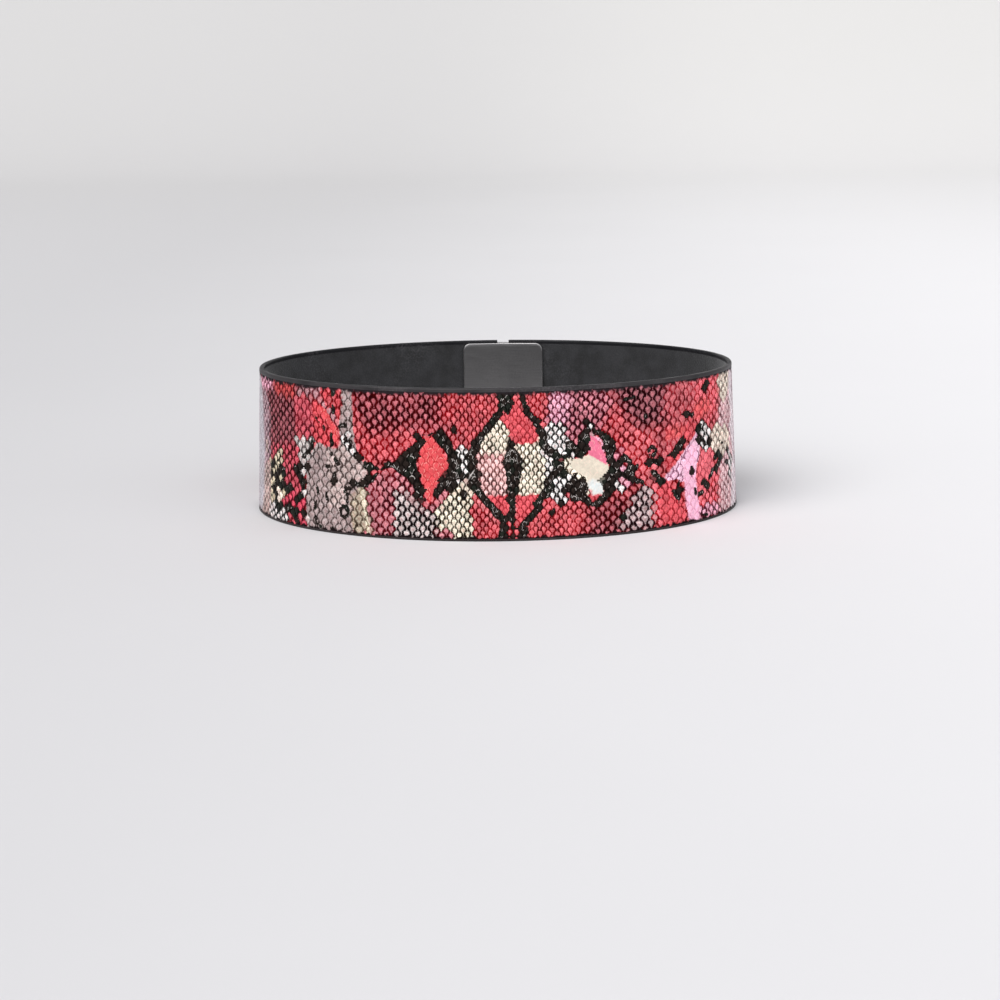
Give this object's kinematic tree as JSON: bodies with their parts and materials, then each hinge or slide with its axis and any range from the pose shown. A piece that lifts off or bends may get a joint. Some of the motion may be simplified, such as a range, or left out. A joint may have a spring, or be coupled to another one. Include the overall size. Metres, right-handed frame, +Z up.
{
  "type": "snake print waist belt",
  "caption": "Wide fastened waist belt of glossy snake print faux leather on a dark backing, with painted edges and a plain plate clasp at the front.",
  "frame": {"origin": "on the surface that the belt stands on, under the middle of the loop's oval", "axes": "+X across the waist, to the right in the picture, which shows the belt from behind; +Y towards the wearer's front, where the clasp is; -Y is the middle of the back; +Z up, across the belt's width"},
  "size_m": [0.2534, 0.1848, 0.075],
  "materials": {
    "print_leather": "glossy faux leather, embossed with small scales and printed in red, coral, cream, taupe, lilac and black",
    "backing": "matt near-black backing with a fine grain",
    "edge_paint": "satin charcoal edge paint",
    "clasp_metal": "brushed dark nickel"
  },
  "bodies": {
    "root": {"print_strip": "print_leather", "backing_strip": "backing", "top_edge": "edge_paint", "bottom_edge": "edge_paint", "clasp_front_plate": "clasp_metal", "clasp_back_plate": "clasp_metal", "clasp_web": "clasp_metal"}
  },
  "joints": []
}
